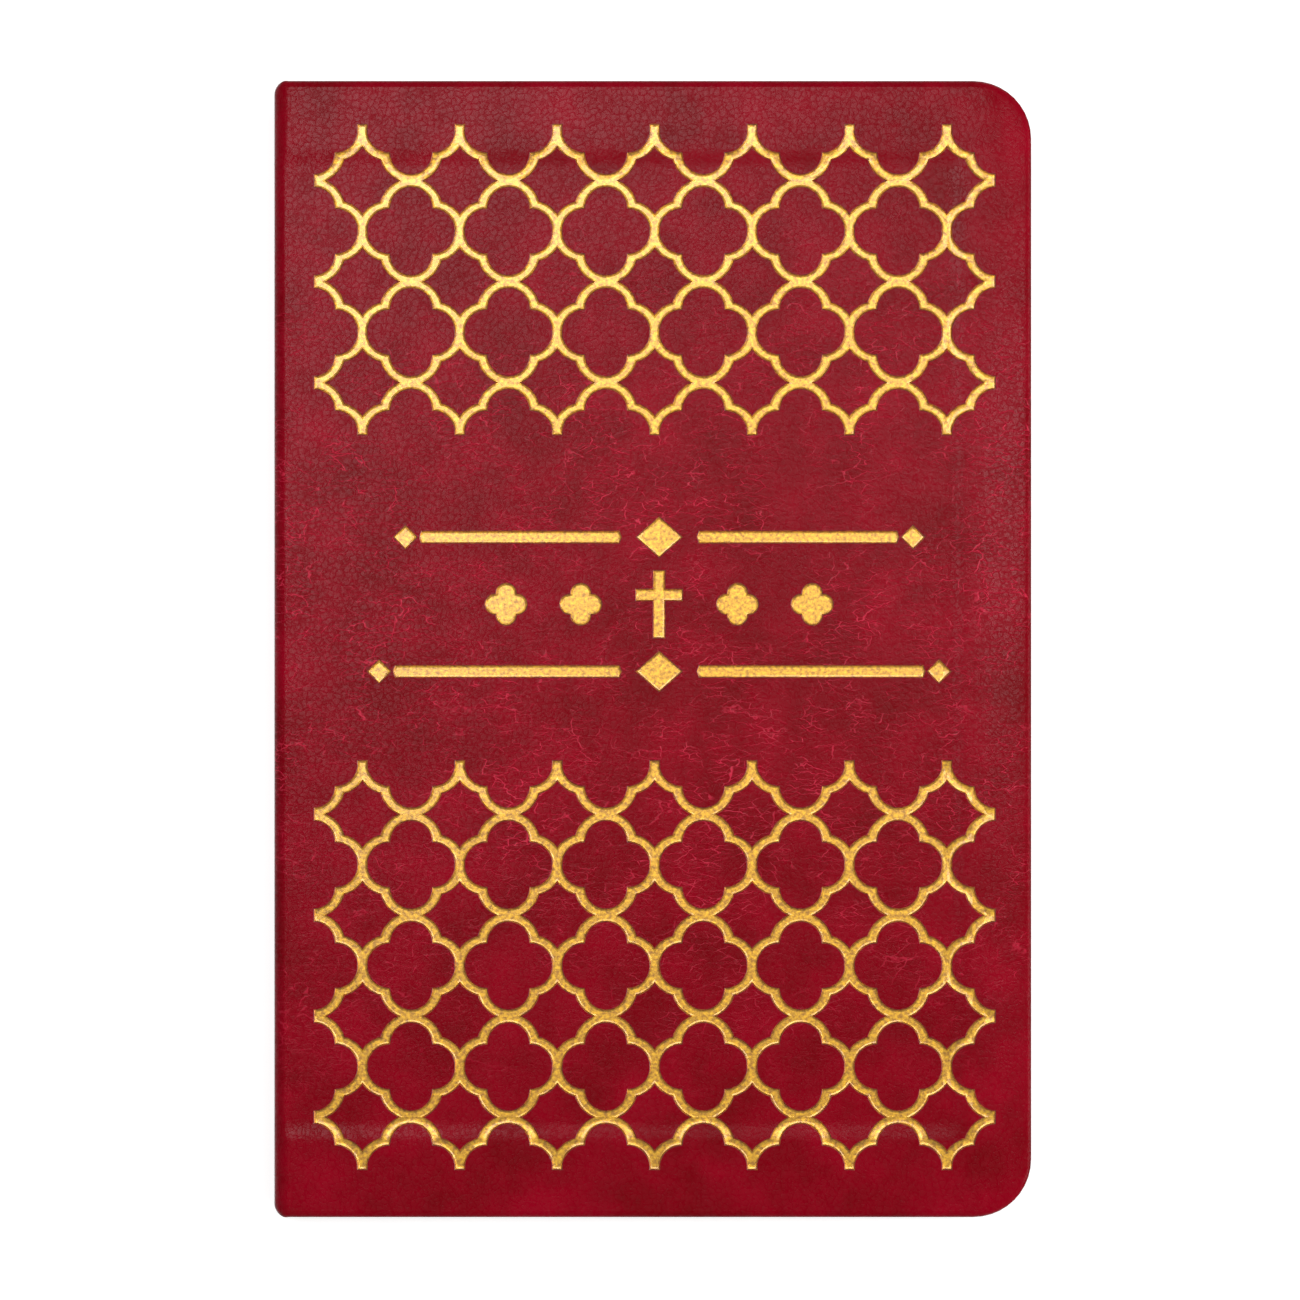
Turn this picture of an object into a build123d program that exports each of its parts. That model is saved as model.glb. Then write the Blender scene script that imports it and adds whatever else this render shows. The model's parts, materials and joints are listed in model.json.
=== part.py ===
"""Pocket prayer book in a flexible leather-look binding, closed and lying on its back cover.

Frame, in millimetres: X runs from the spine (-X) to the fore edge (+X), Y from the tail (-Y) to the
head (+Y), and Z up through the thickness. The origin is under the middle of the book, on the surface
that it lies on.
"""
from build123d import *
import os

# ---- driving dimensions --------------------------------------------------------------------------
cover_width = 101.6             # spine face to fore edge
cover_height = 152.4            # tail to head
cover_corner_radius = 7.8       # rounded fore-edge corners of the covers
square = 3.0                    # how far the covers stand out beyond the pages

leather_thickness = 0.70        # covering material where it is not pressed
press_depth = 0.25              # how far the cover's field is pressed below its raised border
press_slope = 1.50              # width of the soft step round the field
board_thickness = 0.90          # flexible board in each cover
turn_in_thickness = 0.40        # skived edge of the covering, folded over the board
turn_in_head = 11.0             # width of the turn-in at head and tail
turn_in_fore = 11.0             # width of the turn-in at the fore edge
pastedown_thickness = 0.15      # endpaper glued to the inside of a cover
outer_edge_round = 0.95         # roll of the covering over a cover's outer edge
inner_edge_round = 0.50         # roll of the covering into the turn-in

shoulder_radius = 2.0           # roll of the cover into the spine
shoulder_drop = 0.45            # straight stretch of the shoulder below its roll
hinge_gap = 0.30                # fold line left open between shoulder and spine
hinge_offset = 0.15             # hinge axis, out from the spine's face
inlay_thickness = 0.50          # card that stiffens the spine
spine_corner_radius = 1.5       # rounded ends of the spine and its shoulders, seen from above
mull_thickness = 0.30           # open cloth glued to the folds

leaf_thickness = 0.11
leaf_air = 0.02                 # air between neighbouring leaves
sheets_per_section = 4          # each folded sheet is two leaves
section_count = 7
fold_flat_count = 8             # a pressed fold bends round in this many flats
flyleaf_thickness = 0.15
cover_air = 0.03                # air between a pastedown and its flyleaf

thread_diameter = 0.20          # its section is a hexagon, as beeswax and pressing leave it
thread_air = 0.04               # air each side of the thread in the gutter
leaf_start = 0.10               # how far a leaf's flat panel begins from its turning axis
stitch_length = 20.0
stitch_count = 4
stitch_pitch = 31.0

band_diameter = 1.8             # bead of the head and tail bands
band_tape_length = 12.0         # tape that glues a band to the folds
band_air = 0.05                 # air between the bead and the ends of the folds

same_place = 0.01               # edges nearer than this to a plane lie in it

# ---- places worked out from them -----------------------------------------------------------------
x_spine = -cover_width / 2
x_fore = cover_width / 2
half_height = cover_height / 2

x_inlay = x_spine + leather_thickness
x_flap = x_inlay + inlay_thickness
x_mull = x_flap + turn_in_thickness
x_folds = x_mull + mull_thickness
x_board = x_spine + shoulder_radius

leaf_pitch = leaf_thickness + leaf_air
section_thickness = 2 * sheets_per_section * leaf_pitch
block_thickness = section_count * section_thickness
fold_radius = section_thickness / 2 - leaf_air / 2
x_gutter = x_folds + fold_radius                                    # where the folds become leaves
x_thread = x_gutter + thread_air + thread_diameter / 2
x_leaf_axis = x_gutter + thread_diameter + 2 * thread_air
x_leaf = x_leaf_axis + leaf_start
page_half_height = half_height - square
page_corner_radius = cover_corner_radius - square
x_page_fore = x_fore - square

cover_thickness = leather_thickness + board_thickness + turn_in_thickness + pastedown_thickness
end_stack = cover_thickness + cover_air + flyleaf_thickness + leaf_air / 2
book_thickness = 2 * end_stack + block_thickness
z_leather = book_thickness - leather_thickness                      # underside of the front covering
z_board = z_leather - board_thickness                               # underside of the front board
z_turn_in = z_board - turn_in_thickness                             # underside of the turn-ins
z_pastedown = z_turn_in - pastedown_thickness
z_flyleaf_top = z_pastedown - cover_air
z_block_top = book_thickness - end_stack
z_block_bottom = end_stack
z_shoulder_end = book_thickness - shoulder_radius - shoulder_drop
z_spine_top = z_shoulder_end - hinge_gap
z_front_hinge = z_shoulder_end - hinge_gap / 2
mid_plane = Plane.XY.offset(book_thickness / 2)


def outline(x_left, x_right, half_length, corner_radius):
    """Sketch of a cover, board or page: square at the spine side, rounded at the fore edge."""
    blank = Pos((x_left + x_right) / 2, 0) * Rectangle(x_right - x_left, 2 * half_length)
    return fillet(blank.vertices().group_by(Axis.X)[-1], corner_radius)


def plate(x_left, x_right, half_length, corner_radius, z_low, z_high):
    """Flat sheet with that outline, between two heights."""
    face = Pos(0, 0, z_low) * outline(x_left, x_right, half_length, corner_radius)
    return extrude(face, z_high - z_low, dir=(0, 0, 1))


def block(x_low, x_high, half_length, z_low, z_high):
    """Plain block, centred along the book's height."""
    size = (x_high - x_low, 2 * half_length, z_high - z_low)
    return Pos((x_low + x_high) / 2, 0, (z_low + z_high) / 2) * Box(*size)


def rolled_blank(x_left, z_top, radius, half_length):
    """Solid under one rolled skin: from x_left to the fore edge, its upper spine corner rounded."""
    width = x_fore - x_left
    height = z_top - z_shoulder_end
    profile = Pos(x_left + width / 2, z_shoulder_end + height / 2) * Rectangle(width, height)
    corner = profile.vertices().group_by(Axis.Y)[-1].sort_by(Axis.X)[0]
    return extrude(Plane.XZ * fillet(corner, radius), half_length, both=True)


def spine_end_blank(z_low, z_high):
    """Block over the whole cover, its two corners at the spine rounded."""
    blank = block(x_spine, x_fore, half_height, z_low, z_high)
    corners = blank.edges().filter_by(Axis.Z).group_by(Axis.X)[0]
    return fillet(corners, spine_corner_radius)


def mirrored(solid):
    """The same piece in the other cover."""
    return mirror(solid, about=mid_plane)


# ---- covers --------------------------------------------------------------------------------------
def outer_rim(skin):
    """Edges where the rolled skin meets the head, the tail and the fore edge."""
    edges = []
    for edge in skin.edges():
        centre = edge.center()
        on_top = abs(centre.Z - book_thickness) < same_place and abs(centre.X - x_board) > same_place
        on_end = abs(abs(centre.Y) - half_height) < same_place
        on_shoulder = on_end and centre.X < x_board - same_place
        if on_top or (on_shoulder and centre.Z > z_shoulder_end + same_place):
            edges.append(edge)
    return edges


def inner_rim(skin):
    """Edges where the head, the tail and the fore edge meet the turn-ins."""
    edges = []
    for edge in skin.edges():
        centre = edge.center()
        if abs(centre.Z - z_turn_in) < same_place and centre.X > x_board + same_place:
            edges.append(edge)
    return edges


def pressed_field():
    """Shallow cut that leaves the border over the turn-ins standing proud."""
    x_open = x_spine - shoulder_radius
    top = outline(x_open, x_fore - turn_in_fore + press_slope, half_height - turn_in_head + press_slope,
                  page_corner_radius)
    floor = outline(x_open, x_fore - turn_in_fore, half_height - turn_in_head, page_corner_radius)
    z_floor = book_thickness - press_depth
    return loft([Pos(0, 0, z_floor) * floor, Pos(0, 0, book_thickness) * top], ruled=True)


def shoulder_hollow():
    """Space inside the roll, narrower at head and tail where the covering is turned in."""
    plain = rolled_blank(x_inlay, z_leather, shoulder_radius - leather_thickness,
                         half_height - turn_in_head)
    lined = rolled_blank(x_inlay + turn_in_thickness, z_leather - turn_in_thickness,
                         shoulder_radius - leather_thickness - turn_in_thickness, half_height)
    inside = block(x_spine, x_board, half_height, z_shoulder_end, book_thickness)
    return (plain + lined) & inside


def front_cover_leather():
    """Covering of the front cover: skin, rolled shoulder, rounded edges and three turn-ins."""
    skin = rolled_blank(x_spine, book_thickness, shoulder_radius, half_height)
    skin &= plate(x_spine, x_fore, half_height, cover_corner_radius, z_shoulder_end, book_thickness)
    skin = fillet(outer_rim(skin), outer_edge_round)
    skin &= spine_end_blank(z_shoulder_end, book_thickness)
    skin -= block(x_board, x_fore, half_height, z_shoulder_end, z_turn_in)
    skin = fillet(inner_rim(skin), inner_edge_round)
    skin -= shoulder_hollow()
    skin -= front_board()
    skin -= front_liner()
    return skin - pressed_field()


def front_board():
    """Flexible board, wrapped by the covering on three sides."""
    return plate(x_board, x_fore - leather_thickness, half_height - leather_thickness,
                 cover_corner_radius - leather_thickness, z_board, z_leather)


def front_liner():
    """Paper that fills the space between the turn-ins, so that the inside is level."""
    return plate(x_board, x_fore - turn_in_fore, half_height - turn_in_head,
                 page_corner_radius, z_turn_in, z_board)


def front_pastedown():
    """Half of the endpaper, glued over the turn-ins."""
    return plate(x_board, x_page_fore, page_half_height, page_corner_radius, z_pastedown, z_turn_in)


# ---- spine ---------------------------------------------------------------------------------------
def spine_inlay():
    """Card strip inside the spine's covering."""
    return block(x_inlay, x_flap, half_height - leather_thickness,
                 book_thickness - z_spine_top, z_spine_top)


def spine_leather():
    """Covering of the spine, turned in over the inlay at head and tail."""
    z_low = book_thickness - z_spine_top
    skin = block(x_spine, x_mull, half_height, z_low, z_spine_top)
    skin &= spine_end_blank(z_low, z_spine_top)
    skin -= block(x_flap, x_mull, half_height - turn_in_head, z_low, z_spine_top)
    return skin - spine_inlay()


def spine_mull():
    """Cloth glued over the folds, between the tapes of the two bands."""
    return block(x_mull, x_folds, page_half_height - band_tape_length, z_block_bottom, z_block_top)


def headband():
    """Woven bead over the end of the folds, on the tape that is glued to them."""
    tape_middle = page_half_height - band_tape_length / 2
    tape = Pos(0, tape_middle, 0) * block(x_mull, x_folds, band_tape_length / 2,
                                          z_block_bottom, z_block_top)
    bead_y = page_half_height + band_air + band_diameter / 2
    bead = Pos(x_mull + band_diameter / 2, bead_y, z_block_bottom) * Cylinder(
        band_diameter / 2, block_thickness, align=(Align.CENTER, Align.CENTER, Align.MIN))
    neck = Pos(0, (page_half_height + bead_y) / 2, 0) * block(
        x_mull, x_folds, (bead_y - page_half_height) / 2, z_block_bottom, z_block_top)
    return tape + neck + bead


def tailband():
    """The same band at the tail."""
    return mirror(headband(), about=Plane.XZ)


# ---- pages ---------------------------------------------------------------------------------------
def section_middle(section):
    """Height of the middle of a section, counted from the front cover."""
    return z_block_top - section * section_thickness - section_thickness / 2


def sheet_radius(sheet):
    """Distance from the middle of a section to the middle of one of its sheets, outermost first."""
    return (sheets_per_section - sheet) * leaf_pitch - leaf_pitch / 2


def section_folds(section):
    """Nested folds of one section, each sheet bent round the next."""
    folds = []
    for sheet in range(sheets_per_section):
        outer = sheet_radius(sheet) + leaf_thickness / 2
        inner = outer - leaf_thickness
        ring = RegularPolygon(outer, 2 * fold_flat_count) - RegularPolygon(inner, 2 * fold_flat_count)
        bend = ring & Pos(-outer, 0) * Rectangle(2 * outer, 4 * outer)
        fold = extrude(Plane.XZ * bend, page_half_height, both=True)
        folds.append(Pos(x_gutter, 0, section_middle(section)) * fold)
    return folds


def section_leaves(section, side):
    """Flat leaves of one half of a section: side 1 towards the front cover, -1 towards the back."""
    leaves = []
    for sheet in range(sheets_per_section):
        middle = section_middle(section) + side * sheet_radius(sheet)
        leaves.append(plate(x_leaf, x_page_fore, page_half_height, page_corner_radius,
                            middle - leaf_thickness / 2, middle + leaf_thickness / 2))
    return leaves


def front_flyleaf():
    """Free half of the front endpaper."""
    return plate(x_leaf, x_page_fore, page_half_height, page_corner_radius,
                 z_flyleaf_top - flyleaf_thickness, z_flyleaf_top)


def sewing_thread():
    """Stitches along the inside of every fold."""
    stitches = []
    first = -(stitch_count - 1) / 2 * stitch_pitch
    for section in range(section_count):
        for stitch in range(stitch_count):
            place = Pos(x_thread, first + stitch * stitch_pitch, section_middle(section))
            section_face = Plane.XZ * RegularPolygon(thread_diameter / 2, 6)
            stitches.append(place * extrude(section_face, stitch_length / 2, both=True))
    return stitches


# ---- export --------------------------------------------------------------------------------------
def export(name, solids):
    """Write one node: a single solid, or a group of separate ones."""
    shape = Compound(children=solids) if isinstance(solids, list) else solids
    export_step(shape, os.path.join("parts", name + ".step"))


os.makedirs("parts", exist_ok=True)

for piece in (front_cover_leather, front_board, front_liner, front_pastedown, front_flyleaf):
    front = piece()
    export(piece.__name__, front)
    export(piece.__name__.replace("front", "back"), mirrored(front))

for piece in (spine_leather, spine_inlay, spine_mull, headband, tailband, sewing_thread):
    export(piece.__name__, piece())

for section in range(section_count):
    name = f"section_{section + 1}"
    export(name + "_folds", section_folds(section))
    export(name + "_front_leaves", section_leaves(section, 1))
    export(name + "_back_leaves", section_leaves(section, -1))

print("book thickness", round(book_thickness, 3))
print("front cover hinge at", round(x_spine - hinge_offset, 3), round(z_front_hinge, 3))
print("leaf axes at", round(x_leaf_axis, 3), round(z_flyleaf_top, 3))
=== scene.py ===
"""Looks of a pocket prayer book: flexible crimson leather, stamped with a gilt quatrefoil trellis.

The covering is made as a bookbinder makes it. It is cut and stamped as a flat sheet with its
turn-ins, then bent over the shoulder and down the spine. Each half of it is cut across at its
cover's hinge, and the leaves are cut across beside the gutter. Boards, papers, folds and thread
are the frame's own.
All building is in millimetres and ends in metres.
"""
import json
import logging
import math
from collections.abc import Sequence
from dataclasses import dataclass, field
from enum import Enum, IntEnum

import bmesh
import bpy
from mathutils import Matrix, Vector


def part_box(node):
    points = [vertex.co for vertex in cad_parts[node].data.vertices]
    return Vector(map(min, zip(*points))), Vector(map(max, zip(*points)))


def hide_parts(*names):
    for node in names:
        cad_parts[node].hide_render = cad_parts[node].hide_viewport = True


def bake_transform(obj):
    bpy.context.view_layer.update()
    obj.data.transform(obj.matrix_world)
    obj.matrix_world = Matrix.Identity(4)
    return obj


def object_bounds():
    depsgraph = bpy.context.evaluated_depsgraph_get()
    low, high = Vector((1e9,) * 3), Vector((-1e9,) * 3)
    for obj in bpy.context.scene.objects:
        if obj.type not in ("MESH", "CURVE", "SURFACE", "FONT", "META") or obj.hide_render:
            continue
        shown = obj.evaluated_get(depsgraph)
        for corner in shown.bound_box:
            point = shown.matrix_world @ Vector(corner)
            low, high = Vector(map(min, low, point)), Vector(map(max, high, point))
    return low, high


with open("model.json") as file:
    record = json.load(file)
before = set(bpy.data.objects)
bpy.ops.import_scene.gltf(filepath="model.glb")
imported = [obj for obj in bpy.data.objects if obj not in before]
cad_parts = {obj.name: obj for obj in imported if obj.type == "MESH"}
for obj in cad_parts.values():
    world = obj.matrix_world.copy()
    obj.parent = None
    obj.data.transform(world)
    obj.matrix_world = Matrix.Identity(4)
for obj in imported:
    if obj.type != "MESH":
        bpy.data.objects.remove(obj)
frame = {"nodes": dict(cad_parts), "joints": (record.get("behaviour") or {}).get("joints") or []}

log = logging.getLogger("prayer_book")

MM = 0.001
# Points closer than this, in millimetres, are one.
MERGE = 0.001
CUT_MERGE = 1e-5
UP = (0.0, 0.0, 1.0)
WHITE = (1.0, 1.0, 1.0, 1.0)
# Blender's wave texture runs through this many radians in each unit of length.
WAVE_RADIANS = 20
BOX_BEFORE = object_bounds()

Point = tuple[float, float]
Triple = tuple[float, float, float]
Colour = tuple[float, float, float, float]
Socket = bpy.types.NodeSocket
Outputs = bpy.types.bpy_prop_collection
Piece = bpy.types.Object
Vert = bmesh.types.BMVert
Edge = bmesh.types.BMEdge
Face = bmesh.types.BMFace


class Side(Enum):
    """The two covers of the book."""

    FRONT = "front"
    BACK = "back"


class Surface(IntEnum):
    """What a face of the covering shows: its number is its material's place."""

    LEATHER = 0
    # The stamp's rim: burnished leather with painted shade.
    SCORCHED = 1
    GILT = 2
    # The stamp's walls: gold with painted shade.
    GILT_WALL = 3


# --- small tools


def srgb(code: str) -> Colour:
    """Turns an sRGB hex colour into linear light.

    Args:
        code: Six hex digits after a hash.

    Returns:
        Red, green, blue and an alpha of 1.
    """
    parts = [int(code[i : i + 2], 16) / 255 for i in (1, 3, 5)]
    linear = [c / 12.92 if c <= 0.04045 else ((c + 0.055) / 1.055) ** 2.4 for c in parts]
    return (linear[0], linear[1], linear[2], 1.0)


def plus(first: Point, second: Point) -> Point:
    """Adds two places up."""
    return (first[0] + second[0], first[1] + second[1])


def smoothstep(value: float) -> float:
    """Returns a smooth rise from 0 to 1 as value goes from 0 to 1."""
    t = min(1.0, max(0.0, value))
    return t * t * (3 - 2 * t)


def round_off(distance: float, radius: float) -> float:
    """Returns how far a quarter round cuts back a corner's one side, at a distance from the other."""
    away = min(radius, max(0.0, distance))
    return radius - math.sqrt(radius**2 - (radius - away) ** 2)


def grain(size_mm: float) -> float:
    """Returns the texture scale at which one cell is size_mm across."""
    return 1 / (size_mm * MM)


# --- finishes


@dataclass(frozen=True)
class Clouds:
    """A pattern of soft patches: low to high of its noise becomes least to most."""

    size_mm: float
    detail: float = 2.0
    roughness: float = 0.5
    low: float = 0.0
    high: float = 1.0
    least: float = 0.0
    most: float = 1.0


@dataclass(frozen=True)
class Net:
    """A net of fine lines: its meshes' size, their turn in radians, and half a line's share of a mesh."""

    mesh_mm: float
    turn: float
    half_line: float


@dataclass(frozen=True)
class Look:
    """The nodes of one material or of the world, and the coordinates that its patterns follow."""

    tree: bpy.types.NodeTree
    place: Socket | None = None

    def add(self, kind: str, inputs: dict, **settings: object) -> Outputs:
        """Adds a node with its settings, values and links.

        Args:
            kind: The node's type, without the word that all types start with.
            inputs: For each input's name or number, a value or another node's output.
            **settings: The node's own settings.

        Returns:
            The new node's outputs.
        """
        node = self.tree.nodes.new("ShaderNode" + kind)
        for name, value in settings.items():
            setattr(node, name, value)
        for name, value in inputs.items():
            if isinstance(value, Socket):
                self.tree.links.new(value, node.inputs[name])
            else:
                node.inputs[name].default_value = value
        return node.outputs

    def ray_seen(self) -> Socket:
        """Tells rays that show something from the rest of the light.

        Returns:
            1 where a ray comes from the camera, a mirror or glass.
        """
        rays = self.add("LightPath", {})
        mirrored = self.sum("MAXIMUM", rays["Is Camera Ray"], rays["Is Glossy Ray"])
        return self.sum("MAXIMUM", mirrored, rays["Is Transmission Ray"])

    def sum(self, operation: str, first: Socket, second: Socket | float = 0.0) -> Socket:
        """Returns what one sum on two numbers gives."""
        return self.add("Math", {0: first, 1: second}, operation=operation)[0]

    def vector_sum(self, operation: str, inputs: dict) -> Socket:
        """Returns what one sum on vectors gives."""
        return self.add("VectorMath", inputs, operation=operation)[0]

    def noise(self, clouds: Clouds) -> Outputs:
        """Returns the plain noise behind a pattern of patches."""
        return self.add("TexNoise", {"Vector": self.place, "Scale": grain(clouds.size_mm),
                                     "Detail": clouds.detail, "Roughness": clouds.roughness})

    def patches(self, clouds: Clouds) -> Socket:
        """Returns a pattern of patches, from its least to its most."""
        return self.stretched(self.noise(clouds)["Fac"], clouds.low, clouds.high, clouds.least, clouds.most)

    def stretched(self, value: Socket, low: float, high: float, least: float = 0.0, most: float = 1.0,
                  curve: str = "LINEAR") -> Socket:
        """Returns a value with its low and high moved to least and most, along a curve between them."""
        return self.add("MapRange", {"Value": value, "From Min": low, "From Max": high,
                                     "To Min": least, "To Max": most}, interpolation_type=curve)[0]

    def shifted(self, way: Socket, reach_mm: float) -> Socket:
        """Returns the place, moved by reach_mm times a vector."""
        shift = self.vector_sum("SCALE", {0: way, "Scale": reach_mm * MM})
        return self.vector_sum("ADD", {0: self.place, 1: shift})

    def to_edge(self, at: Socket, size_mm: float) -> Socket:
        """Returns how far a place lies from the edge of its own cell."""
        return self.add("TexVoronoi", {"Vector": at, "Scale": grain(size_mm)},
                        feature="DISTANCE_TO_EDGE")["Distance"]

    def tinted(self, factor: Socket, first: Socket | Colour, second: Colour) -> Socket:
        """Returns the first colour where the factor is 0 and the second where it is 1."""
        return self.add("Mix", {"Factor": factor, 6: first, 7: second}, data_type="RGBA")[2]

    def dented(self, height: Socket, depth_mm: float, strength: float = 1.0, **under: Socket) -> Socket:
        """Returns the normal of dents from a height of 0 to 1, over another Normal if one is given."""
        return self.add("Bump", {"Height": height, "Strength": strength,
                                 "Distance": depth_mm * MM, **under})[0]

    def skin(self, colour: Socket, roughness: float, inputs: dict) -> Socket:
        """Returns a surface of one colour and roughness, with more inputs by name."""
        return self.add("BsdfPrincipled", {"Base Color": colour, "Roughness": roughness, **inputs})[0]


@dataclass(frozen=True)
class Finish:
    """A surface finish. Its subclasses say how it is shaded."""

    name: str

    def shade(self, look: Look) -> Socket:
        """Builds the shader and returns its output."""
        raise NotImplementedError

    def material(self) -> bpy.types.Material:
        """Makes the finish's material once.

        Returns:
            The material.
        """
        made = bpy.data.materials.get(self.name)
        if made is None:
            made = bpy.data.materials.new(self.name)
            made.use_nodes = True
            tree = made.node_tree
            tree.nodes.clear()
            look = Look(tree, Look(tree).add("TexCoord", {})["Object"])
            look.add("OutputMaterial", {"Surface": self.shade(look)})
        return made


@dataclass(frozen=True)
class Leather(Finish):
    """Pigmented, embossed bonded leather: a soft gloss over fine grain and thin drawn wrinkles."""

    deep: str = "#6e0009"
    bright: str = "#8c0019"
    dusk: str = "#5c1016"
    vein_tint: str = "#d2304a"
    roughness: float = 0.22
    refraction: float = 1.5
    # A lacquered face mirrors little: its sheen comes from the lamps alone, and is broken by the grain.
    mirror: float = 0.046
    mirror_spread: float = 0.72
    # Skimming light lifts a pale bloom off the polish, as along the rounded edges.
    bloom: float = 0.35
    bloom_roughness: float = 0.25
    mottle: Clouds = Clouds(9.0, detail=5.0, roughness=0.6, low=0.30, high=0.70)
    rubbed: Clouds = Clouds(5.4, detail=4.0, low=0.54, high=0.76, most=0.16)
    # Real grain is about 0.25 mm in pebbles of 0.5 mm; both are drawn a little coarser, so that they show.
    fine: Clouds = Clouds(0.42, detail=3.0, roughness=0.6, low=0.36, high=0.64)
    pebble_mm: float = 0.80
    pebble_unevenness: float = 0.8
    pebble_crease: float = 0.16
    pebble_share: float = 0.60
    grain_depth_mm: float = 0.012
    # The skin is crazed in nets of fine lines, 0.1 mm wide, whose meshes are longer across the book.
    nets: tuple[Net, ...] = (Net(2.3, 0.12, 0.020), Net(1.2, -0.20, 0.034))
    mesh_stretch: Triple = (0.38, 1.50, 0.35)
    # The lines wander, and break off and start again, in step with their meshes.
    wander_size: float = 0.8
    wander_reach: float = 0.7
    break_size: float = 1.8
    break_range: Point = (0.40, 0.60)
    vein_strength: float = 0.80
    vein_height_mm: float = 0.02
    vein_patches: Clouds = Clouds(13.0, low=0.36, high=0.60, least=0.15)
    veined_half_mm: Point = (26.0, 66.0)

    def veins(self, look: Look, net: Net) -> Socket:
        """Draws a net of thin wavy lines that break off and start again.

        Args:
            look: The material's nodes.
            net: The net's sizes.

        Returns:
            1 on a line, 0 beside it.
        """
        wander = look.noise(Clouds(net.mesh_mm * self.wander_size))["Color"]
        swing = look.vector_sum("SUBTRACT", {0: wander, 1: (0.5, 0.5, 0.5)})
        moved = look.shifted(swing, net.mesh_mm * self.wander_reach)
        run = look.add("Mapping", {"Vector": moved, "Rotation": (0.0, 0.0, net.turn),
                                   "Scale": self.mesh_stretch})[0]
        line = look.stretched(look.to_edge(run, net.mesh_mm), 0.0, net.half_line, 1.0, 0.0, "SMOOTHSTEP")
        low, high = self.break_range
        whole = look.patches(Clouds(net.mesh_mm * self.break_size, detail=1.0, low=low, high=high))
        return look.sum("MULTIPLY", line, whole)

    def veined_part(self, look: Look) -> Socket:
        """Says how strongly the nets show: in patches, and not near head and tail.

        Args:
            look: The material's nodes.

        Returns:
            The strength, 0 where the skin is smooth.
        """
        along = look.sum("ABSOLUTE", look.add("SeparateXYZ", {0: look.place})["Y"])
        start, end = self.veined_half_mm
        middle = look.stretched(along, start * MM, end * MM, self.vein_strength, 0.0)
        return look.sum("MULTIPLY", middle, look.patches(self.vein_patches))

    def pebbles(self, look: Look) -> Socket:
        """Draws the grain: fine noise over small uneven pebbles with creases between them.

        Args:
            look: The material's nodes.

        Returns:
            The height, 0 in a crease and 1 on a pebble.
        """
        noise = look.noise(self.fine)
        fine = look.stretched(noise["Fac"], self.fine.low, self.fine.high)
        moved = look.shifted(noise["Color"], self.pebble_mm * self.pebble_unevenness)
        pebble = look.stretched(look.to_edge(moved, self.pebble_mm), 0.0, self.pebble_crease)
        return look.add("Mix", {"Factor": self.pebble_share, 2: fine, 3: pebble}, data_type="FLOAT")[0]

    def shade(self, look: Look) -> Socket:
        """Builds mottled colour, two nets of fine lines and the grain.

        Args:
            look: The material's nodes.

        Returns:
            The shader.
        """
        colour = look.tinted(look.patches(self.mottle), srgb(self.deep), srgb(self.bright))
        dusky = look.tinted(look.patches(self.rubbed), colour, srgb(self.dusk))
        lines = self.veins(look, self.nets[0])
        for net in self.nets[1:]:
            lines = look.sum("MAXIMUM", lines, self.veins(look, net))
        fade = look.sum("MULTIPLY", lines, self.veined_part(look))
        veined = look.tinted(fade, dusky, srgb(self.vein_tint))
        height = self.pebbles(look)
        least, most = self.mirror * (1 - self.mirror_spread), self.mirror * (1 + self.mirror_spread)
        dents = look.dented(height, self.grain_depth_mm)
        return look.skin(veined, self.roughness, {
            "Specular IOR Level": look.stretched(height, 0.0, 1.0, least, most), "IOR": self.refraction,
            "Sheen Weight": self.bloom, "Sheen Roughness": self.bloom_roughness,
            "Normal": look.dented(fade, self.vein_height_mm, Normal=dents)})


@dataclass(frozen=True)
class ScorchedAndShadedRim(Finish):
    """Leather burnished by the hot stamp: darker and browner, partly as painted shade of the stamp's
    rounded edge, with traces of foil.
    """

    # The dark tint is painted shade of the stamp's rounded edge, laid over real burnish.
    tint: str = "#550d08"
    stray_foil: str = "#96521a"
    traces: Clouds = Clouds(0.7, detail=3.0, low=0.50, high=0.66)
    roughness: float = 0.45

    def shade(self, look: Look) -> Socket:
        """Builds a dark line of burnish and painted shade, with broken foil along it."""
        colour = look.tinted(look.patches(self.traces), srgb(self.tint), srgb(self.stray_foil))
        return look.skin(colour, self.roughness, {})


@dataclass(frozen=True)
class GiltFoil(Finish):
    """Hot-stamped gold foil: bright metal that follows the grain under it."""

    pale: str = "#a87e0e"
    deep: str = "#704a06"
    roughness: float = 0.40
    lacquer: float = 0.80
    lacquer_roughness: float = 0.24
    speckle: Clouds = Clouds(0.5, detail=3.0, roughness=0.6, low=0.35, high=0.65)
    dimples: Clouds = Clouds(0.45)
    dimple_depth_mm: float = 0.03
    dimple_strength: float = 0.8

    def shade(self, look: Look) -> Socket:
        """Builds rubbed and full patches of metal.

        Args:
            look: The material's nodes.

        Returns:
            The shader.
        """
        colour = look.tinted(look.patches(self.speckle), srgb(self.deep), srgb(self.pale))
        noise = look.noise(self.dimples)["Fac"]
        return look.skin(colour, self.roughness, {
            "Metallic": 1.0, "Coat Weight": self.lacquer, "Coat Roughness": self.lacquer_roughness,
            "Normal": look.dented(noise, self.dimple_depth_mm, self.dimple_strength)})


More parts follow.
